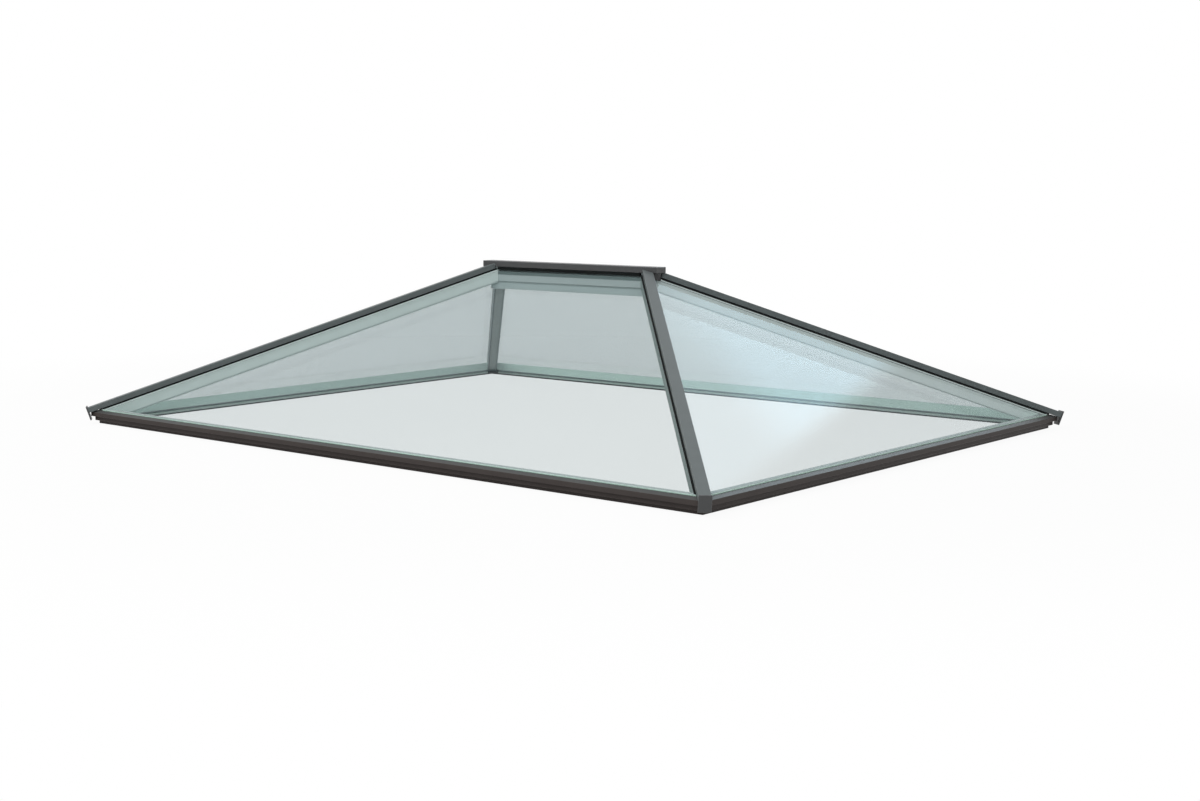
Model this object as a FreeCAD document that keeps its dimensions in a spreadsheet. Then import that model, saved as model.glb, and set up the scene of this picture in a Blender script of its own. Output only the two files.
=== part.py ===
# Roof lantern with a hipped glass roof: eaves frame, four hips, a ridge and four sealed glass units.
# Millimetres. The origin is under the middle of the frame, X runs along the ridge and Z is up.
import FreeCAD, Part
import os
import Sketcher

doc = FreeCAD.newDocument("RoofLantern")

# Driving dimensions
DIMENSIONS = {
    # over the drip band of the eaves, and up to the top of the ridge
    "eaves_length": 1750,
    "eaves_width": 1500,
    "overall_height": 387,
    # eaves section, from the drip leg up to the sloping lip
    "leg_height": 7.5,
    "leg_thickness": 5,
    "step_out": 7,
    "step_height": 10,
    "band_out": 7,
    "band_height": 10,
    "lip_rise": 4.8,
    "beam_width": 20,
    "sole_width": 13,
    "sole_height": 4.5,
    "inner_edge_height": 9,
    # sealed units
    "outer_glass": 4,
    "cavity": 22,
    "inner_glass": 4,
    "spacer_width": 3,
    "spacer_foot": 12,
    "glass_height": 35,
    "glass_overhang": 2,
    "edge_clearance": 0.5,
    "seat_gap": 0.3,
    # hips
    "hip_cap_width": 23,
    "hip_cap_depth": 12.5,
    "hip_cap_drop": 0.5,
    "hip_bar_width": 21,
    "hip_bar_depth": 35,
    # rubber lips that reach from under the hip caps onto the glass
    "lip_width": 3.5,
    "lip_depth": 1.2,
    # corner plates and cleats
    "plate_reach": 25,
    "plate_width": 24,
    "plate_length": 34.5,
    "plate_thickness": 3,
    "plate_proud": 3.5,
    "cleat_leg": 22,
    # ridge
    "ridge_cap_length": 514,
    "ridge_cap_width": 37,
    "ridge_cap_depth": 14,
    "ridge_end_thickness": 10,
    "ridge_overhang": 40,
    "ridge_gasket_height": 7.5,
    "ridge_bar_width": 23,
    "ridge_bar_depth": 54,
    "ridge_bar_overrun": 20,
    "boss_radius": 16,
}

dims = doc.addObject("Spreadsheet::Sheet", "Dims")
for row, (alias, value) in enumerate(DIMENSIONS.items(), start=1):
    dims.set(f"A{row}", alias)
    dims.set(f"B{row}", str(value))
    dims.setAlias(f"B{row}", alias)
doc.recompute()

# Sizes that follow from the driving ones.
# The glass plane of each side passes glass_height above the outer face of the drip leg.
DERIVED = {
    "overhang": "Dims.step_out + Dims.band_out",
    "half_x": "Dims.eaves_length / 2 - Geo.overhang",
    "half_y": "Dims.eaves_width / 2 - Geo.overhang",
    "lip_top": "Dims.leg_height + Dims.step_height + Dims.band_height + Dims.lip_rise",
    "unit": "Dims.outer_glass + Dims.cavity + Dims.inner_glass",
    "ridge_base": "Dims.overall_height - Dims.ridge_cap_depth",
    "ridge_share": "Dims.ridge_cap_width / 2 / Geo.half_y",
    "apex": "(Geo.ridge_base - Dims.ridge_gasket_height - Geo.ridge_share * Dims.glass_height)"
            " / (1 - Geo.ridge_share)",
    "rise": "Geo.apex - Dims.glass_height",
    "junction": "Dims.ridge_cap_length / 2 - Dims.ridge_overhang",
    "bar_end": "Geo.junction + Dims.ridge_bar_overrun",
    "end_run": "Geo.half_x - Geo.junction",
    "side_tan": "Geo.rise / Geo.half_y",
    "side_cos": "1 / sqrt(1 + Geo.side_tan ^ 2)",
    "side_sin": "Geo.side_tan * Geo.side_cos",
    "end_tan": "Geo.rise / Geo.end_run",
    "end_cos": "1 / sqrt(1 + Geo.end_tan ^ 2)",
    "end_sin": "Geo.end_tan * Geo.end_cos",
    "hip_run": "sqrt(Geo.half_y ^ 2 + Geo.end_run ^ 2)",
    "hip_length": "sqrt(Geo.hip_run ^ 2 + Geo.rise ^ 2)",
    "hip_cos": "Geo.hip_run / Geo.hip_length",
    "hip_sin": "Geo.rise / Geo.hip_length",
    # how far the panes fall away on each side of a hip, across the hip
    "side_fall_sin": "Geo.side_sin * Geo.end_run / Geo.hip_run",
    "side_fall_cos": "sqrt(1 - Geo.side_fall_sin ^ 2)",
    "end_fall_sin": "Geo.end_sin * Geo.half_y / Geo.hip_run",
    "end_fall_cos": "sqrt(1 - Geo.end_fall_sin ^ 2)",
    "hip_gap": "Dims.hip_bar_width / 2 + Dims.edge_clearance",
    "ridge_gap": "Dims.ridge_bar_width / 2 + Dims.edge_clearance",
    "tip_gap": "Dims.ridge_bar_overrun + Dims.edge_clearance",
    "hip_lip": "Dims.hip_cap_width / 2 + Dims.lip_width",
    "cap_top": "Dims.hip_cap_depth - Dims.hip_cap_drop",
    "bar_top": "Dims.hip_bar_width / 2 * max(Geo.side_fall_sin / Geo.side_fall_cos;"
               " Geo.end_fall_sin / Geo.end_fall_cos) + Dims.seat_gap",
    "hip_head": "Geo.hip_length - Dims.hip_bar_depth * Geo.hip_sin / Geo.hip_cos",
    # heights of the inner edges of the glass seats; the hip bars come down to just above the cleats
    "side_seat": "Dims.glass_height + Dims.beam_width * Geo.side_tan - (Geo.unit + Dims.seat_gap) / Geo.side_cos",
    "end_seat": "Dims.glass_height + Dims.beam_width * Geo.end_tan - (Geo.unit + Dims.seat_gap) / Geo.end_cos",
    "cleat_top": "min(Geo.side_seat; Geo.end_seat)",
    "hip_foot": "(Geo.cleat_top + Dims.seat_gap - Dims.glass_height + Dims.hip_bar_depth * Geo.hip_cos)"
                " / Geo.hip_sin",
    # the ridge gaskets stop where the lips of the hips begin
    "ridge_lip_end": "Geo.junction + (Dims.boss_radius * Geo.end_run - Geo.hip_lip * Geo.hip_run) / Geo.half_y"
                     " - Dims.seat_gap",
}

geo = doc.addObject("App::VarSet", "Geo")
for name in DERIVED:
    geo.addProperty("App::PropertyFloat", name)
for name, formula in DERIVED.items():
    geo.setExpression(name, formula)
    doc.recompute()

# Each side is described in its own frame: X along the eaves, Y inwards, Z up.
# Each hip is described in its own frame: X up the hip, Y across it, Z square to the slope.
HIP_ANGLE = "atan(Geo.half_y / Geo.end_run)"
SIDES = {
    "front": {"kind": "side", "at": ("0", "-Geo.half_y"), "yaw": "0"},
    "right": {"kind": "end", "at": ("Geo.half_x", "0"), "yaw": "90"},
    "back": {"kind": "side", "at": ("0", "Geo.half_y"), "yaw": "180"},
    "left": {"kind": "end", "at": ("-Geo.half_x", "0"), "yaw": "270"},
}
HIPS = {
    "front_left": {"at": ("-Geo.half_x", "-Geo.half_y"), "yaw": HIP_ANGLE, "left_pane": "end",
                   "half": "front", "quarter": "0"},
    "front_right": {"at": ("Geo.half_x", "-Geo.half_y"), "yaw": f"180 deg - {HIP_ANGLE}", "left_pane": "side",
                    "half": "front", "quarter": "90"},
    "back_right": {"at": ("Geo.half_x", "Geo.half_y"), "yaw": f"180 deg + {HIP_ANGLE}", "left_pane": "end",
                   "half": "back", "quarter": "180"},
    "back_left": {"at": ("-Geo.half_x", "Geo.half_y"), "yaw": f"0 deg - {HIP_ANGLE}", "left_pane": "side",
                  "half": "back", "quarter": "270"},
}


def placed(x, y, z, yaw="0", pitch="0", roll="0"):
    return f"placement(vector({x}; {y}; {z}); rotation({yaw}; {pitch}; {roll}))"


def side_frame(side, height="0", roll="0"):
    x, y = side["at"]
    return placed(x, y, height, side["yaw"], "0", roll)


def hip_frame(hip):
    x, y = hip["at"]
    return placed(x, y, "Dims.glass_height", hip["yaw"], "0 deg - asin(Geo.hip_sin)", "0")


def box(name, x_range, y_range, z_range, frame):
    solid = doc.addObject("Part::Box", name)
    solid.setExpression("Length", f"({x_range[1]}) - ({x_range[0]})")
    solid.setExpression("Width", f"({y_range[1]}) - ({y_range[0]})")
    solid.setExpression("Height", f"({z_range[1]}) - ({z_range[0]})")
    solid.setExpression("Placement", f"{frame} * {placed(x_range[0], y_range[0], z_range[0])}")
    return solid


def slab(name, base, top, half_base, half_top, z_range, frame):
    solid = doc.addObject("Part::Wedge", name)
    values = {
        "Xmin": f"-({half_base})", "Xmax": half_base, "X2min": f"-({half_top})", "X2max": half_top,
        "Ymin": base, "Ymax": top,
        "Zmin": z_range[0], "Zmax": z_range[1], "Z2min": z_range[0], "Z2max": z_range[1],
    }
    for key, formula in values.items():
        solid.setExpression(key, formula)
    solid.setExpression("Placement", frame)
    return solid


def value_of(formula):
    return float(geo.evalExpression(formula))


def outline(name, loops, frame):
    sketch = doc.addObject("Sketcher::SketchObject", name)
    for loop in loops:
        first = sketch.GeometryCount
        corners = [FreeCAD.Vector(value_of(x), value_of(y), 0) for x, y in loop]
        count = len(corners)
        for index in range(count):
            sketch.addGeometry(Part.LineSegment(corners[index], corners[(index + 1) % count]))
        for index in range(count):
            following = first + (index + 1) % count
            sketch.addConstraint(Sketcher.Constraint("Coincident", first + index, 2, following, 1))
        for index, (x, y) in enumerate(loop):
            for kind, formula in (("DistanceX", x), ("DistanceY", y)):
                distance = Sketcher.Constraint(kind, -1, 1, first + index, 1, value_of(formula))
                number = sketch.addConstraint(distance)
                sketch.setExpression(f"Constraints[{number}]", formula)
    sketch.setExpression("Placement", frame)
    return sketch


def extrude(name, sketch, length, symmetric=False):
    solid = doc.addObject("Part::Extrusion", name)
    solid.Base = sketch
    solid.DirMode = "Normal"
    solid.Solid = True
    solid.Symmetric = symmetric
    solid.setExpression("LengthFwd", length)
    return solid


def boolean(kind, name, base, tool):
    solid = doc.addObject(f"Part::{kind}", name)
    solid.Base = base
    solid.Tool = tool
    return solid


sub_parts = []


def finish(node, solid):
    solid.Label = node
    sub_parts.append(solid)


# Eaves beams: a stepped fascia over a drip leg, a sloping lip and a seat under the glass, mitred at the corners
def eaves_beam(name, side):
    kind = side["kind"]
    tan, cos, sin = (f"Geo.{kind}_{ratio}" for ratio in ("tan", "cos", "sin"))
    half = "Geo.half_x" if kind == "side" else "Geo.half_y"
    glass_edge = f"(Dims.glass_height - Dims.glass_overhang * {tan})"
    lip_end = f"Dims.glass_overhang - ({glass_edge} - Geo.lip_top) * {tan} + Dims.edge_clearance / {cos}"
    tray_out = (f"Dims.glass_overhang - (Geo.unit + Dims.seat_gap) * {sin}"
                f" + Dims.edge_clearance * {cos}")
    tray_up = f"{glass_edge} - (Geo.unit + Dims.seat_gap) * {cos} - Dims.edge_clearance * {sin}"
    step_top = "Dims.leg_height + Dims.step_height"
    profile = [
        ("0", "0"),
        ("0", "Dims.leg_height"),
        ("Dims.step_out", "Dims.leg_height"),
        ("Dims.step_out", step_top),
        ("Geo.overhang", step_top),
        ("Geo.overhang", f"{step_top} + Dims.band_height"),
        (lip_end, "Geo.lip_top"),
        (tray_out, tray_up),
        ("-Dims.beam_width", f"Geo.{kind}_seat"),
        ("-Dims.beam_width", "Dims.inner_edge_height"),
        ("-Dims.sole_width", "Dims.sole_height"),
        ("-Dims.leg_thickness", "Dims.sole_height"),
        ("-Dims.leg_thickness", "0"),
    ]
    section = f"{side_frame(side)} * {placed('0', '0', '0', '-90', '0', '90')}"
    bar = extrude(f"{name}_bar", outline(f"{name}_section", [profile], section),
                  f"2 * ({half} + Geo.overhang)", symmetric=True)
    mitre = slab(f"{name}_mitre", "-Geo.overhang", "Dims.beam_width", f"{half} + Geo.overhang",
                 f"{half} - Dims.beam_width", ("0", "Dims.overall_height"), side_frame(side))
    finish(name, boolean("Common", name, bar, mitre))


# Glass layers: each lies between two depths under the outer face and is cut plumb along the hips and the ridge
def glass_layer(name, side, depth_range, inset="0", foot="0"):
    kind = side["kind"]
    over, under = depth_range
    if kind == "side":
        run, half, other, top_gap = "Geo.half_y", "Geo.half_x", "Geo.end_run", "Geo.ridge_gap"
    else:
        run, half, other, top_gap = "Geo.end_run", "Geo.half_y", "Geo.half_y", "Geo.tip_gap"
    slope = side_frame(side, "Dims.glass_height", f"atan(Geo.{kind}_tan)")
    base = f"{foot} - Dims.glass_overhang / Geo.{kind}_cos"
    sheet = box(f"{name}_sheet", (f"-{half} - Geo.overhang", f"{half} + Geo.overhang"),
                (base, f"{run} / Geo.{kind}_cos"), (f"-({under})", f"-({over})"), slope)
    setback = f"(Geo.hip_gap + {inset}) * Geo.hip_run / {run}"
    low, high = "-Geo.overhang", f"({run} - {top_gap} - {inset})"
    plan = slab(f"{name}_plan", low, high, f"{half} - {other} / {run} * ({low}) - {setback}",
                f"{half} - {other} / {run} * {high} - {setback}", ("0", "Dims.overall_height"), side_frame(side))
    return boolean("Common", name, sheet, plan)


def sealed_unit(label, side):
    spacer_top = "Dims.outer_glass"
    spacer_base = "Dims.outer_glass + Dims.cavity"
    finish(f"outer_pane_{label}", glass_layer(f"outer_pane_{label}", side, ("0", spacer_top)))
    finish(f"inner_pane_{label}", glass_layer(f"inner_pane_{label}", side, (spacer_base, "Geo.unit")))
    rim = glass_layer(f"spacer_rim_{label}", side, (spacer_top, spacer_base))
    core = glass_layer(f"spacer_core_{label}", side, (spacer_top, spacer_base),
                       inset="Dims.spacer_width", foot="Dims.spacer_foot")
    finish(f"spacer_{label}", boolean("Cut", f"spacer_{label}", rim, core))


# Hips: a flat cap outside, a gasket with lips on the glass, a bar inside and a plate over the lower end
def hip(label, place):
    frame = hip_frame(place)
    half_cap, half_bar = "Dims.hip_cap_width / 2", "Dims.hip_bar_width / 2"
    lower = "-Dims.plate_reach"
    cap = box(f"hip_cap_bar_{label}", (lower, "Geo.hip_length"), (f"-{half_cap}", half_cap),
              ("-Dims.hip_cap_drop", "Geo.cap_top"), frame)
    finish(f"hip_cap_{label}", boolean("Cut", f"hip_cap_{label}", cap, cap_trim))

    bar = box(f"hip_rafter_{label}", ("Geo.hip_foot", "Geo.hip_head"), (f"-{half_bar}", half_bar),
              ("-Dims.hip_bar_depth", "-Geo.bar_top"), frame)
    finish(f"hip_bar_{label}", boolean("Cut", f"hip_bar_{label}", bar, bar_trim))

    right_pane = "end" if place["left_pane"] == "side" else "side"
    profile = gasket_half(place["left_pane"], "") + gasket_half(right_pane, "-")[::-1]
    section = f"{frame} * {placed(lower, '0', '0', '90', '0', '90')}"
    strip = extrude(f"hip_strip_{label}", outline(f"hip_strip_section_{label}", [profile], section),
                    "Geo.hip_length + Dims.plate_reach")
    finish(f"hip_gasket_{label}", boolean("Common", f"hip_gasket_{label}", strip, half_plans[place["half"]]))

    plate_top = "Geo.cap_top + Dims.plate_proud"
    plate = box(f"corner_plate_{label}", (f"{lower} - Dims.plate_thickness", lower),
                ("-Dims.plate_width / 2", "Dims.plate_width / 2"),
                (f"{plate_top} - Dims.plate_length", plate_top), frame)
    finish(f"corner_plate_{label}", plate)


def gasket_half(kind, sign):
    fall = f"Geo.{kind}_fall_sin / Geo.{kind}_fall_cos"
    near, edge, far = "Dims.hip_bar_width / 2", "Dims.hip_cap_width / 2", "Geo.hip_lip"
    return [
        (f"{sign}{edge}", "-Dims.hip_cap_drop"),
        (f"{sign}{edge}", f"Dims.lip_depth - {edge} * {fall}"),
        (f"{sign}{far}", f"Dims.lip_depth - {far} * {fall}"),
        (f"{sign}{far}", f"-{far} * {fall}"),
        (f"{sign}{near}", f"-{near} * {fall}"),
    ]


# Corner cleats: triangles that tie two eaves beams together on the inside
def corner_cleat(label, place):
    x, y = place["at"]
    corner = [("Dims.beam_width", "Dims.beam_width"),
              ("Dims.beam_width + Dims.cleat_leg", "Dims.beam_width"),
              ("Dims.beam_width", "Dims.beam_width + Dims.cleat_leg")]
    frame = placed(x, y, "Dims.sole_height", place["quarter"])
    section = outline(f"corner_cleat_section_{label}", [corner], frame)
    finish(f"corner_cleat_{label}",
           extrude(f"corner_cleat_{label}", section, "Geo.cleat_top - Dims.sole_height"))


# Ridge: a flat cap with end blocks, gaskets on the glass and a deep bar inside
def ridge():
    here = placed("0", "0", "0")
    half_cap, half_bar = "Dims.ridge_cap_width / 2", "Dims.ridge_bar_width / 2"
    block_start = "Dims.ridge_cap_length / 2 - Dims.ridge_end_thickness"
    finish("ridge_cap", box("ridge_cap", (f"-({block_start})", block_start), (f"-{half_cap}", half_cap),
                            ("Geo.ridge_base", "Dims.overall_height"), here))
    finish("ridge_bar", box("ridge_bar", ("-Geo.bar_end", "Geo.bar_end"), (f"-{half_bar}", half_bar),
                            ("Geo.ridge_base - Dims.ridge_bar_depth", "Geo.ridge_base"), here))
    strips = []
    for sign in ("", "-"):
        strips.append([
            (f"{sign}{half_bar}", "Geo.ridge_base"),
            (f"{sign}{half_cap}", "Geo.ridge_base"),
            (f"{sign}{half_cap}", f"Geo.apex - {half_cap} * Geo.side_tan"),
            (f"{sign}{half_bar}", f"Geo.apex - {half_bar} * Geo.side_tan"),
        ])
    section = placed("0", "0", "0", "90", "0", "90")
    finish("ridge_gaskets", extrude("ridge_gaskets", outline("ridge_gasket_section", strips, section),
                                    "2 * Geo.ridge_lip_end", symmetric=True))
    for label in ("right", "left"):
        side = SIDES[label]
        turned = placed("0", "0", "0", "0" if label == "right" else "180")
        block = box(f"ridge_end_{label}", (block_start, "Dims.ridge_cap_length / 2"),
                    (f"-{half_cap}", half_cap), ("Geo.ridge_base", "Dims.overall_height"), turned)
        finish(f"ridge_end_{label}", block)
        ridge_boss(label, side, turned)


# A rounded boss closes the tip of the end pane under the ridge overhang
def ridge_boss(label, side, turned):
    drum = doc.addObject("Part::Cylinder", f"boss_drum_{label}")
    drum.setExpression("Radius", "Dims.boss_radius")
    drum.setExpression("Height", "Geo.ridge_base")
    drum.setExpression("Placement", f"{turned} * {placed('Geo.bar_end', '0', '0')}")
    behind = box(f"boss_back_{label}", ("0", "Geo.bar_end"), ("-Dims.ridge_cap_width", "Dims.ridge_cap_width"),
                 ("0", "Dims.overall_height"), turned)
    slope = side_frame(side, "Dims.glass_height", "atan(Geo.end_tan)")
    below = box(f"boss_under_{label}", ("-Dims.ridge_cap_width", "Dims.ridge_cap_width"),
                ("0", "2 * Geo.hip_length"), ("-Dims.overall_height", "Dims.seat_gap"), slope)
    half_drum = boolean("Cut", f"boss_half_{label}", drum, behind)
    finish(f"ridge_boss_{label}", boolean("Cut", f"ridge_boss_{label}", half_drum, below))


def ridge_trim(name, width):
    return box(name, ("-Geo.half_x", "Geo.half_x"), (f"-{width} / 2", f"{width} / 2"),
               ("0", "2 * Dims.overall_height"), placed("0", "0", "0"))


# The glazed area in front of the ridge or behind it
def half_plan(name, y_range):
    return box(name, ("-Geo.half_x", "Geo.half_x"), y_range, ("0", "2 * Dims.overall_height"), placed("0", "0", "0"))


cap_trim = ridge_trim("hip_cap_trim", "Dims.ridge_cap_width")
bar_trim = ridge_trim("hip_bar_trim", "Dims.ridge_bar_width")
half_plans = {
    "front": half_plan("front_plan", ("-Geo.half_y", "-Dims.boss_radius")),
    "back": half_plan("back_plan", ("Dims.boss_radius", "Geo.half_y")),
}
for label, side in SIDES.items():
    eaves_beam(f"eaves_beam_{label}", side)
    sealed_unit(label, side)
for label, place in HIPS.items():
    hip(label, place)
    corner_cleat(label, place)
ridge()
doc.recompute()

for item in doc.Objects:
    if "Invalid" in item.State or "Error" in item.State:
        raise RuntimeError(f"{item.Label} failed: {item.State}")
for solid in sub_parts:
    if solid.Shape.isNull() or not solid.Shape.isValid():
        raise RuntimeError(f"{solid.Label} has no valid shape")

os.makedirs("parts", exist_ok=True)
for solid in sub_parts:
    solid.Shape.exportStep(f"parts/{solid.Label}.step")
    print(solid.Label, len(solid.Shape.Solids), round(solid.Shape.Volume))
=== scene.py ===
import bmesh
import bpy
from math import cos, radians, sin
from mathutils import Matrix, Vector


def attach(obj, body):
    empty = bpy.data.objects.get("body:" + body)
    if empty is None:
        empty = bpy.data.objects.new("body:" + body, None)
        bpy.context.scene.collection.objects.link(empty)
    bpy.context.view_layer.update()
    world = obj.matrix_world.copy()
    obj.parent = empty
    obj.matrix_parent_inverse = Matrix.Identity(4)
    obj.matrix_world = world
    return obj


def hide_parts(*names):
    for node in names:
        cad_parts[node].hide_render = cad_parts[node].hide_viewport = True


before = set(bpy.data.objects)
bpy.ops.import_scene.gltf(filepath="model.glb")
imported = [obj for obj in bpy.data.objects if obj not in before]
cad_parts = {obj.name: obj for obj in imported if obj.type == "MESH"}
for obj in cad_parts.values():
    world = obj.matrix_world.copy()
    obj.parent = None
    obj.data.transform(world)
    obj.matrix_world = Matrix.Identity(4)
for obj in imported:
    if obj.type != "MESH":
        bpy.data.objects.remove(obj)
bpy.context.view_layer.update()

print("lantern frame loaded,", len(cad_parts), "pieces")


class Wire:
    # an output socket, so that finishes can be written as sums
    def __init__(self, finish, socket):
        self.finish = finish
        self.socket = socket

    def maths(self, operation, first, second):
        return self.finish.node("ShaderNodeMath", {"operation": operation}, {0: first, 1: second})

    def __add__(self, other):
        return self.maths("ADD", self, other)

    def __radd__(self, other):
        return self.maths("ADD", other, self)

    def __sub__(self, other):
        return self.maths("SUBTRACT", self, other)

    def __rsub__(self, other):
        return self.maths("SUBTRACT", other, self)

    def __mul__(self, other):
        return self.maths("MULTIPLY", self, other)

    def __rmul__(self, other):
        return self.maths("MULTIPLY", other, self)


class Finish:
    # a node tree that is being filled
    def __init__(self, owner):
        owner.use_nodes = True
        self.owner = owner
        self.tree = owner.node_tree
        self.tree.nodes.clear()

    def node(self, kind, settings=None, sockets=None, out=0):
        made = self.tree.nodes.new(kind)
        for key, value in (settings or {}).items():
            setattr(made, key, value)
        for key, value in (sockets or {}).items():
            if isinstance(value, Wire):
                self.tree.links.new(value.socket, made.inputs[key])
            else:
                made.inputs[key].default_value = value
        return Wire(self, made.outputs[out]) if made.outputs else None

    def noise(self, place, scale, detail=2.0):
        return self.node("ShaderNodeTexNoise", {}, {"Vector": place, "Scale": scale, "Detail": detail})

    def blend(self, factor, first, second):
        settings = {"data_type": "RGBA", "clamp_factor": True}
        return self.node("ShaderNodeMix", settings, {0: factor, 6: first, 7: second}, 2)

    def fade(self, value, start, end):
        # 0 at the start, 1 at the end, with a soft run between
        return self.node("ShaderNodeMapRange", {"interpolation_type": "SMOOTHSTEP"}, {
            "Value": value, "From Min": start, "From Max": end})

    def bump(self, height, strength, distance):
        return self.node("ShaderNodeBump", {}, {
            "Height": height, "Strength": strength, "Distance": distance})

    def show(self, shader):
        self.node("ShaderNodeOutputMaterial", {}, {"Surface": shader})
        return self.owner


# powder coat on the aluminium: fine orange peel, faint blotches, edges rubbed a little paler, some tones
# painted lit
coatLook = {
    "blotchScale": 22.0, "blotchDetail": 4.0, "blotchDepth": 0.5,
    "grainScale": 900.0, "grainDepth": 0.35,
    "wearLift": 0.45, "wearPolish": 0.08,
    "roughness": 0.40, "roughnessSpread": 0.12,
    "peelScale": 650.0, "peelDetail": 3.0, "peelStrength": 0.12, "peelDistance": 0.0004,
    "tones": {
        # hip caps: painted lit, a copy of the coat made paler for the light and sheen they catch
        "hipCoat": {"deep": (0.084, 0.097, 0.098, 1), "pale": (0.158, 0.178, 0.180, 1), "shine": 0.10},
        "ridgeCoat": {"deep": (0.027, 0.028, 0.029, 1), "pale": (0.058, 0.060, 0.062, 1), "shine": 0.5},
        "eavesCoat": {"deep": (0.037, 0.031, 0.030, 1), "pale": (0.080, 0.068, 0.064, 1), "shine": 0.06},
        # ridge bar inside: painted pale, as lit through the glass
        "barCoat": {"deep": (0.48, 0.55, 0.55, 1), "pale": (0.60, 0.69, 0.69, 1), "shine": 0.4},
        # hip bars inside: painted paler and greener, as lit through the glass
        "rafterCoat": {"deep": (0.080, 0.125, 0.118, 1), "pale": (0.140, 0.200, 0.190, 1), "shine": 0.3},
        # sloping lips of the eaves: painted lit, paler than the fascias as their tops catch the light
        "lipCoat": {"deep": (0.047, 0.048, 0.048, 1), "pale": (0.094, 0.096, 0.096, 1), "shine": 0.1},
        # inner edges of the eaves: painted pale, as lit by the floor below
        "seatCoat": {"deep": (0.50, 0.62, 0.57, 1), "pale": (0.62, 0.76, 0.70, 1), "shine": 0.2},
    },
}


def powderCoat(name):
    tone = coatLook["tones"][name]
    coat = Finish(bpy.data.materials.new(name))
    place = coat.node("ShaderNodeTexCoord", out="Object")
    blotch = coat.noise(place, coatLook["blotchScale"], coatLook["blotchDetail"])
    grain = coat.noise(place, coatLook["grainScale"])
    wear = coat.node("ShaderNodeAttribute", {"attribute_name": "edgeWear"}, {}, "Fac")
    shade = 0.5 + (blotch - 0.5) * coatLook["blotchDepth"] + (grain - 0.5) * coatLook["grainDepth"]
    shade = shade + wear * coatLook["wearLift"]
    roughness = coatLook["roughness"] + (blotch - 0.5) * coatLook["roughnessSpread"]
    roughness = roughness - wear * coatLook["wearPolish"]
    peel = coat.noise(place, coatLook["peelScale"], coatLook["peelDetail"])
    return coat.show(coat.node("ShaderNodeBsdfPrincipled", {}, {
        "Base Color": coat.blend(shade, tone["deep"], tone["pale"]),
        "Roughness": roughness,
        "Specular IOR Level": tone["shine"],
        "Normal": coat.bump(peel, coatLook["peelStrength"], coatLook["peelDistance"]),
    }))


# black rubber of the gaskets, dusty in places
rubberLook = {
    "deep": (0.003, 0.004, 0.004, 1), "dusty": (0.010, 0.013, 0.013, 1), "shine": 0.15,
    "dustScale": 60.0, "dustDetail": 5.0, "dustFrom": 0.35, "dustGain": 1.2,
    "roughness": 0.75, "roughnessSpread": 0.3,
    "grainScale": 1400.0, "grainStrength": 0.2, "grainDistance": 0.0003,
}


def gasketRubber():
    rubber = Finish(bpy.data.materials.new("gasketRubber"))
    place = rubber.node("ShaderNodeTexCoord", out="Object")
    dust = rubber.noise(place, rubberLook["dustScale"], rubberLook["dustDetail"])
    grain = rubber.noise(place, rubberLook["grainScale"])
    dusty = (dust - rubberLook["dustFrom"]) * rubberLook["dustGain"]
    return rubber.show(rubber.node("ShaderNodeBsdfPrincipled", {}, {
        "Base Color": rubber.blend(dusty, rubberLook["deep"], rubberLook["dusty"]),
        "Roughness": rubberLook["roughness"] + (dust - 0.5) * rubberLook["roughnessSpread"],
        "Specular IOR Level": rubberLook["shine"],
        "Normal": rubber.bump(grain, rubberLook["grainStrength"], rubberLook["grainDistance"]),
    }))


# moulded plastic of the rounded bosses under the ridge ends
bossLook = {
    "deep": (0.010, 0.010, 0.011, 1), "pale": (0.022, 0.023, 0.024, 1),
    "mottleScale": 90.0, "mottleDetail": 3.0, "roughness": 0.45, "roughnessSpread": 0.15,
    "textureScale": 1800.0, "textureStrength": 0.25, "textureDistance": 0.0003,
}


def bossPlastic():
    plastic = Finish(bpy.data.materials.new("bossPlastic"))
    place = plastic.node("ShaderNodeTexCoord", out="Object")
    mottle = plastic.noise(place, bossLook["mottleScale"], bossLook["mottleDetail"])
    texture = plastic.noise(place, bossLook["textureScale"])
    return plastic.show(plastic.node("ShaderNodeBsdfPrincipled", {}, {
        "Base Color": plastic.blend(mottle, bossLook["deep"], bossLook["pale"]),
        "Roughness": bossLook["roughness"] + (mottle - 0.5) * bossLook["roughnessSpread"],
        "Normal": plastic.bump(texture, bossLook["textureStrength"], bossLook["textureDistance"]),
    }))


# sealed edges of the units: painted light along two hips, painted shade along the other two,
# greener at the eaves, grey with painted shade at the head along the ridge, under the ridge cap
sealLook = {
    "cloudScale": 35.0, "cloudDetail": 4.0, "spread": 0.09,
    "roughness": 0.5, "roughnessSpread": 0.2, "shine": 0.2,
    "grainScale": 500.0, "grainStrength": 0.1, "grainDistance": 0.0002,
    "tones": {
        # the two pale hip tones are painted lit, the darkest tone below is painted shade
        "hipSeal": (0.72, 0.81, 0.79, 1),
        "endSeal": (0.79, 0.85, 0.84, 1),  # hips of the left and right units
        "eavesSeal": (0.73, 0.94, 0.85, 1),
        "ridgeSeal": (0.43, 0.50, 0.50, 1),
        "topSeal": (0.46, 0.53, 0.52, 1),
        "shadeSeal": (0.20, 0.25, 0.24, 1),
    },
    # painted shade at the head of the ridge edges, under the ridge cap
    "headTone": (0.17, 0.22, 0.22, 1), "headFrom": 0.3533, "headTo": 0.3548,
}


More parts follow.
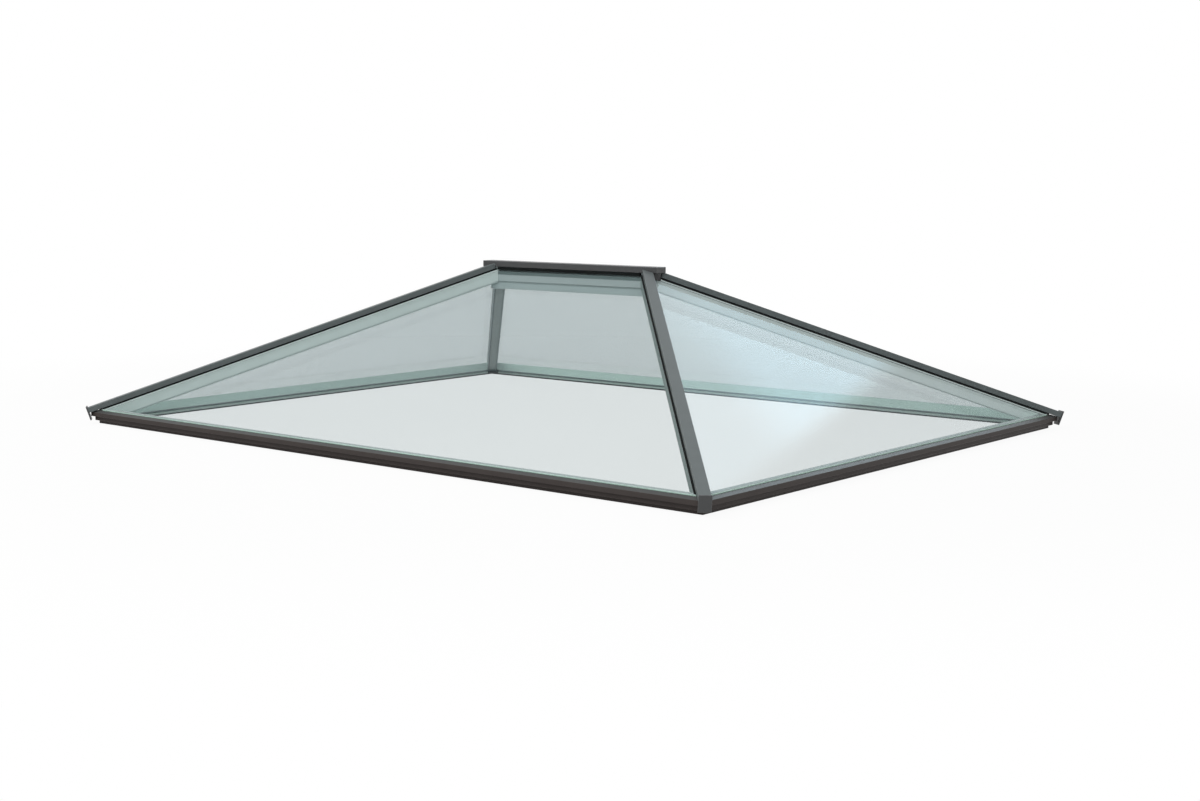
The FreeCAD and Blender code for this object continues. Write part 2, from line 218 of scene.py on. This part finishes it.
def unitSeal(name):
    seal = Finish(bpy.data.materials.new(name))
    place = seal.node("ShaderNodeTexCoord", out="Object")
    cloud = seal.noise(place, sealLook["cloudScale"], sealLook["cloudDetail"])
    grain = seal.noise(place, sealLook["grainScale"])
    tone = sealLook["tones"][name]
    deep = tuple(value * (1 - sealLook["spread"]) for value in tone[:3]) + (1,)
    colour = seal.blend(cloud, deep, tone)
    if name == "ridgeSeal":
        # painted shade: the ridge edges darken near their top, under the ridge cap
        height = seal.node("ShaderNodeSeparateXYZ", {}, {0: place}, "Z")
        capShade = seal.fade(height, sealLook["headFrom"], sealLook["headTo"])
        colour = seal.blend(capShade, colour, sealLook["headTone"])
    return seal.show(seal.node("ShaderNodeBsdfPrincipled", {}, {
        "Base Color": colour,
        "Roughness": sealLook["roughness"] + (grain - 0.5) * sealLook["roughnessSpread"],
        "Specular IOR Level": sealLook["shine"],
        "Normal": seal.bump(grain, sealLook["grainStrength"], sealLook["grainDistance"]),
    }))


# sheet glass, tinted a little at each face, with a mirror share that grows at a flat angle
paneLook = {
    "tint": (0.941, 0.953, 0.953, 1), "mirror": (0.27, 0.33, 0.36, 1), "roughness": 0.012,
    "ior": 1.28, "mirrorLow": 0.003, "mirrorGain": 0.82,
    "smearScale": 5.0, "smearDetail": 5.0, "smearMiddle": 0.4, "smearShare": 0.015, "smearRoughness": 0.02,
}


def sheetGlass():
    glass = Finish(bpy.data.materials.new("sheetGlass"))
    place = glass.node("ShaderNodeTexCoord", out="Object")
    smear = glass.noise(place, paneLook["smearScale"], paneLook["smearDetail"])
    behind = glass.node("ShaderNodeNewGeometry", out="Backfacing")
    fresnel = glass.node("ShaderNodeFresnel", {}, {"IOR": paneLook["ior"]})
    share = paneLook["mirrorLow"] + fresnel * paneLook["mirrorGain"]
    share = share + (smear - paneLook["smearMiddle"]) * paneLook["smearShare"]
    clear = glass.node("ShaderNodeBsdfTransparent", {}, {"Color": paneLook["tint"]})
    mirror = glass.node("ShaderNodeBsdfPrincipled", {}, {
        "Base Color": paneLook["mirror"],
        "Metallic": 1.0,
        "Roughness": paneLook["roughness"] + smear * paneLook["smearRoughness"],
    })
    return glass.show(glass.node("ShaderNodeMixShader", {}, {0: share * (1 - behind), 1: clear, 2: mirror}))


finishes = {name: powderCoat(name) for name in coatLook["tones"]}
finishes.update({name: unitSeal(name) for name in sealLook["tones"]})
finishes["rubber"] = gasketRubber()
finishes["plastic"] = bossPlastic()
finishes["glass"] = sheetGlass()
print("finishes mixed:", ", ".join(finishes))

# how the solids of the frame are read, angles in degrees
skin = {"mergeDistance": 1e-6, "flatAngle": 1, "smoothAngle": 25}


def cutShape(node):
    # a solid of the frame as one closed skin with whole faces
    shape = bmesh.new()
    shape.from_mesh(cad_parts[node].data)
    bmesh.ops.remove_doubles(shape, verts=shape.verts, dist=skin["mergeDistance"])
    bmesh.ops.dissolve_limit(shape, angle_limit=radians(skin["flatAngle"]), verts=shape.verts,
                             edges=shape.edges)
    for face in shape.faces:
        face.smooth = any(0 < edge.calc_face_angle(0) < radians(skin["smoothAngle"]) for edge in face.edges)
    return shape


def easeEdges(shape, settings):
    worn = shape.faces.layers.float.new("edgeWear")
    sharp = [edge for edge in shape.edges if edge.calc_face_angle(0) > radians(settings["sharpAngle"])]
    eased = bmesh.ops.bevel(shape, geom=sharp, offset=settings["edgeRadius"], offset_type="OFFSET",
                            segments=settings["segments"], profile=0.5, affect="EDGES", material=-1,
                            clamp_overlap=True)
    for face in eased["faces"]:
        face[worn] = 1.0
        face.smooth = True


def addPiece(name, shape, looks, node):
    mesh = bpy.data.meshes.new(name)
    shape.to_mesh(mesh)
    shape.free()
    for look in looks:
        mesh.materials.append(finishes[look])
    piece = bpy.data.objects.new(name, mesh)
    bpy.context.scene.collection.objects.link(piece)
    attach(piece, "root")
    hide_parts(node)
    return piece


def pieceName(node, ending):
    words = node.split("_")
    return words[0] + "".join(word.capitalize() for word in words[1:]) + ending


# metal and rubber pieces: the solids of the frame with their edges eased as an extrusion's are
metalPieces = {
    "eaves_beam": {"edgeRadius": 0.0006, "segments": 2, "sharpAngle": 20, "look": "eavesCoat",
                   "slot": "frame", "lip": "lipCoat", "seat": "seatCoat"},
    "hip_cap": {"edgeRadius": 0.0010, "segments": 3, "sharpAngle": 20, "look": "hipCoat", "slot": "frame"},
    "hip_bar": {"edgeRadius": 0.0007, "segments": 2, "sharpAngle": 20, "look": "rafterCoat", "slot": "frame"},
    "corner_plate": {"edgeRadius": 0.0007, "segments": 3, "sharpAngle": 20, "look": "ridgeCoat",
                     "slot": "frame"},
    "corner_cleat": {"edgeRadius": 0.0006, "segments": 2, "sharpAngle": 20, "look": "eavesCoat",
                     "slot": "frame"},
    "ridge_cap": {"edgeRadius": 0.0012, "segments": 3, "sharpAngle": 20, "look": "ridgeCoat", "slot": "frame"},
    "ridge_end": {"edgeRadius": 0.0010, "segments": 3, "sharpAngle": 20, "look": "ridgeCoat", "slot": "frame"},
    "ridge_bar": {"edgeRadius": 0.0010, "segments": 3, "sharpAngle": 20, "look": "barCoat", "slot": "frame"},
    "hip_gasket": {"edgeRadius": 0.0003, "segments": 2, "sharpAngle": 20, "look": "rubber", "slot": "gasket",
                   "castsShade": False},  # keeps the glass edges under the thin lips bright
    "ridge_gaskets": {"edgeRadius": 0.0003, "segments": 2, "sharpAngle": 20, "look": "rubber",
                      "slot": "gasket"},
    "ridge_boss": {"edgeRadius": 0.0008, "segments": 3, "sharpAngle": 30, "look": "plastic", "slot": "boss"},
}

# which faces of an eaves beam count as its lip and its inner edge
beamFaces = {"lipRise": 0.3, "inward": -0.1, "soleTop": 0.005}


def beamLook(face):
    # index of the finish for a face of an eaves beam: fascia, sloping lip or inner edge, the last two painted
    # lit
    height = face.calc_center_median().z
    outward = face.normal.xy.dot(face.calc_center_median().xy)
    if face.normal.z > beamFaces["lipRise"] and outward > 0:
        return 1
    return 2 if outward < beamFaces["inward"] and height > beamFaces["soleTop"] else 0


for start, settings in metalPieces.items():
    for node in sorted(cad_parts):
        if node.startswith(start):
            shape = cutShape(node)
            looks = [settings["look"]]
            if "lip" in settings:
                looks += [settings["lip"], settings["seat"]]
                for face in shape.faces:
                    face.material_index = beamLook(face)
            easeEdges(shape, settings)
            piece = addPiece(pieceName(node, "Eased"), shape, looks, node)
            piece.visible_shadow = piece.visible_diffuse = settings.get("castsShade", True)
print("frame pieces eased")

# panes and spacers: clear faces, sealed edges
unitPieces = {
    "outer_pane": {"edgeRadius": 0.0004, "segments": 1, "sharpAngle": 20, "broad": "glass", "slot": "glass"},
    "inner_pane": {"edgeRadius": 0.0004, "segments": 1, "sharpAngle": 20, "broad": "glass", "slot": "glass"},
    "spacer": {"edgeRadius": 0.0003, "segments": 1, "sharpAngle": 20, "broad": "topSeal", "slot": "spacer"},
}

# which faces of a unit count as broad, as eaves edges and as ridge edges
unitFaces = {"broadTilt": 0.7, "eavesTilt": 0.1, "square": 0.99}


def edgeLook(face):
    # index of the finish for a face of a unit: broad faces, eaves, ridge, two hips painted lit, two hips
    # painted shade
    normal, middle = face.normal, face.calc_center_median()
    if abs(normal.z) > unitFaces["broadTilt"]:
        return 0
    if abs(normal.z) > unitFaces["eavesTilt"]:
        return 1
    if max(abs(normal.x), abs(normal.y)) > unitFaces["square"]:
        return 2
    # hips where x and y share a sign take the painted-lit tone, the other two the painted shade
    return 3 if middle.x * middle.y > 0 else 4


for start, settings in unitPieces.items():
    for node in sorted(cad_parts):
        if node.startswith(start):
            shape = cutShape(node)
            for face in shape.faces:
                face.material_index = edgeLook(face)
            easeEdges(shape, settings)
            # painted-lit hip tone, palest on the left and right units
            hips = "endSeal" if node.endswith(("left", "right")) else "hipSeal"
            looks = [settings["broad"], "eavesSeal", "ridgeSeal", hips, "shadeSeal"]
            addPiece(pieceName(node, "Sheet"), shape, looks, node)
print("units sealed")

white = (1.0, 1.0, 1.0, 1)


def seenRay(finish):
    # 1 for the rays that show the background itself, straight or in metal and glass
    rays = [finish.node("ShaderNodeLightPath", out=kind)
            for kind in ("Is Camera Ray", "Is Glossy Ray", "Is Transmission Ray")]
    return finish.node("ShaderNodeClamp", {}, {"Value": rays[0] + rays[1] + rays[2]})


def addStage(name, shape, look):
    # a mesh of the studio, which is not part of the lantern
    mesh = bpy.data.meshes.new(name)
    shape.to_mesh(mesh)
    shape.free()
    mesh.materials.append(look)
    thing = bpy.data.objects.new(name, mesh)
    bpy.context.scene.collection.objects.link(thing)
    return thing


# floor, white where the camera looks past the lantern, with the lantern's soft shadow near it
floorLook = {
    "size": 60.0, "colour": (0.82, 0.82, 0.81, 1), "shine": 0.2,
    "roughness": 0.8, "roughnessSpread": 0.1, "grainScale": 6.0, "grainDetail": 4.0,
    "lift": 0.93, "nearRadius": 1.3, "farRadius": 2.4,
}


def floorFinish():
    paint = Finish(bpy.data.materials.new("paleFloor"))
    place = paint.node("ShaderNodeTexCoord", out="Object")
    away = paint.node("ShaderNodeVectorMath", {"operation": "LENGTH"}, {0: place}, "Value")
    far = paint.fade(away, floorLook["nearRadius"], floorLook["farRadius"])
    grain = paint.noise(place, floorLook["grainScale"], floorLook["grainDetail"])
    matt = paint.node("ShaderNodeBsdfPrincipled", {}, {
        "Base Color": floorLook["colour"],
        "Roughness": floorLook["roughness"] + (grain - 0.5) * floorLook["roughnessSpread"],
        "Specular IOR Level": floorLook["shine"],
    })
    bright = paint.node("ShaderNodeEmission", {}, {"Color": white, "Strength": 1.0})
    share = seenRay(paint) * (floorLook["lift"] + (1 - floorLook["lift"]) * far)
    floorSkin = paint.node("ShaderNodeMixShader", {}, {0: share, 1: matt, 2: bright})
    under = paint.node("ShaderNodeNewGeometry", out="Backfacing")
    gone = paint.node("ShaderNodeBsdfTransparent")
    return paint.show(paint.node("ShaderNodeMixShader", {}, {0: under, 1: floorSkin, 2: gone}))


ground = bmesh.new()
bmesh.ops.create_grid(ground, x_segments=1, y_segments=1, size=floorLook["size"] / 2)
addStage("studioFloor", ground, floorFinish())

# white surroundings, which light the lantern less than they show
skyLook = {"light": 0.5, "shown": 1.0}

world = bpy.data.worlds.new("studioSky")
bpy.context.scene.world = world
sky = Finish(world)
strength = skyLook["light"] + (skyLook["shown"] - skyLook["light"]) * seenRay(sky)
glow = sky.node("ShaderNodeBackground", {}, {"Color": white, "Strength": strength})
sky.node("ShaderNodeOutputWorld", {}, {"Surface": glow})

# soft boxes
lamps = {
    "keyBox": {"at": (-2.2, -3.2, 4.6), "aim": (0, 0, 0.2), "size": (4.5, 3.5), "power": 152.0,
               "colour": (1.0, 0.99, 0.97)},
    "fillBox": {"at": (3.1, -3.4, 3.0), "aim": (0, 0, 0.2), "size": (3.5, 3.0), "power": 64.0,
                "colour": (0.94, 0.98, 1.0)},
}

for name, lamp in lamps.items():
    light = bpy.data.lights.new(name, "AREA")
    light.shape = "RECTANGLE"
    light.size, light.size_y = lamp["size"]
    light.energy = lamp["power"]
    light.color = lamp["colour"]
    box = bpy.data.objects.new(name, light)
    box.location = lamp["at"]
    box.rotation_euler = (Vector(lamp["aim"]) - Vector(lamp["at"])).to_track_quat("-Z", "Y").to_euler()
    box.visible_glossy = False
    bpy.context.scene.collection.objects.link(box)
print("floor, sky and soft boxes set")

# pale blue sky card behind the lantern, seen only in the shine of the glass and the caps
cardLook = {
    "from": (0.4, 0.0, 0.2), "turn": 110.2, "rise": 32.0, "away": 12.0, "half": (2.2, 4.5), "soft": 0.15,
    "colour": (0.75, 0.91, 1.0, 1), "strength": 4.1,
    "cloudScale": 0.45, "cloudDetail": 3.0, "cloudDepth": 0.45,
    "thinFrom": -0.6, "thinTo": -0.05, "thinShare": 0.5,
}


def cardFinish():
    card = Finish(bpy.data.materials.new("skyCard"))
    place = card.node("ShaderNodeTexCoord", out="UV")
    cloud = card.noise(place, cardLook["cloudScale"], cardLook["cloudDetail"])
    sideways = card.node("ShaderNodeSeparateXYZ", {}, {0: place}, "X")
    height = card.node("ShaderNodeSeparateXYZ", {}, {0: place}, "Y")
    thin = card.fade(height, cardLook["thinFrom"], cardLook["thinTo"])
    reach = card.node("ShaderNodeMath", {"operation": "ABSOLUTE"}, {0: sideways})
    inside = card.fade(reach, cardLook["half"][0], cardLook["half"][0] - 2 * cardLook["soft"])
    inside = inside * (1 - thin * cardLook["thinShare"])
    cloudy = cardLook["strength"] * (1 + (cloud - 0.5) * cardLook["cloudDepth"])
    colour = card.blend(inside, white, cardLook["colour"])
    return card.show(card.node("ShaderNodeEmission", {}, {
        "Color": colour, "Strength": 1 + (cloudy - 1) * inside}))


turn, rise = radians(cardLook["turn"]), radians(cardLook["rise"])
outward = Vector((cos(rise) * cos(turn), cos(rise) * sin(turn), sin(rise)))
across = Vector((sin(turn), -cos(turn), 0))
upward = across.cross(outward)
middle = Vector(cardLook["from"]) + outward * cardLook["away"]
cardShape = bmesh.new()
spread = cardShape.loops.layers.uv.new("spread")
corners = [(-1, -1), (1, -1), (1, 1), (-1, 1)]
places = [(x * cardLook["half"][0], y * cardLook["half"][1]) for x, y in corners]
sheet = cardShape.faces.new([cardShape.verts.new(middle + across * x + upward * y) for x, y in places])
for loop, place in zip(sheet.loops, places):
    loop[spread].uv = place
skyCard = addStage("skyCard", cardShape, cardFinish())
skyCard.visible_camera = False
skyCard.visible_diffuse = False
skyCard.visible_shadow = False
skyCard.visible_transmission = False

# camera, angles in degrees, and how many clear faces one line of sight may pass
view = {
    "at": (2.5349, -3.3062, 0.5868), "heading": 42.692, "down": 7.233,
    "lens": 52.51, "sensor": 36.0, "shift": 0.1575, "clearFaces": 24,
}

eye = bpy.data.cameras.new("lanternView")
eye.sensor_width = view["sensor"]
eye.lens = view["lens"]
eye.shift_x = view["shift"]
camera = bpy.data.objects.new("lanternView", eye)
camera.location = view["at"]
camera.rotation_euler = (radians(90 - view["down"]), 0, radians(view["heading"]))
bpy.context.scene.collection.objects.link(camera)
bpy.context.scene.camera = camera
bpy.context.scene.view_settings.view_transform = "Standard"
bpy.context.scene.cycles.transparent_max_bounces = view["clearFaces"]

print("lantern dressed")
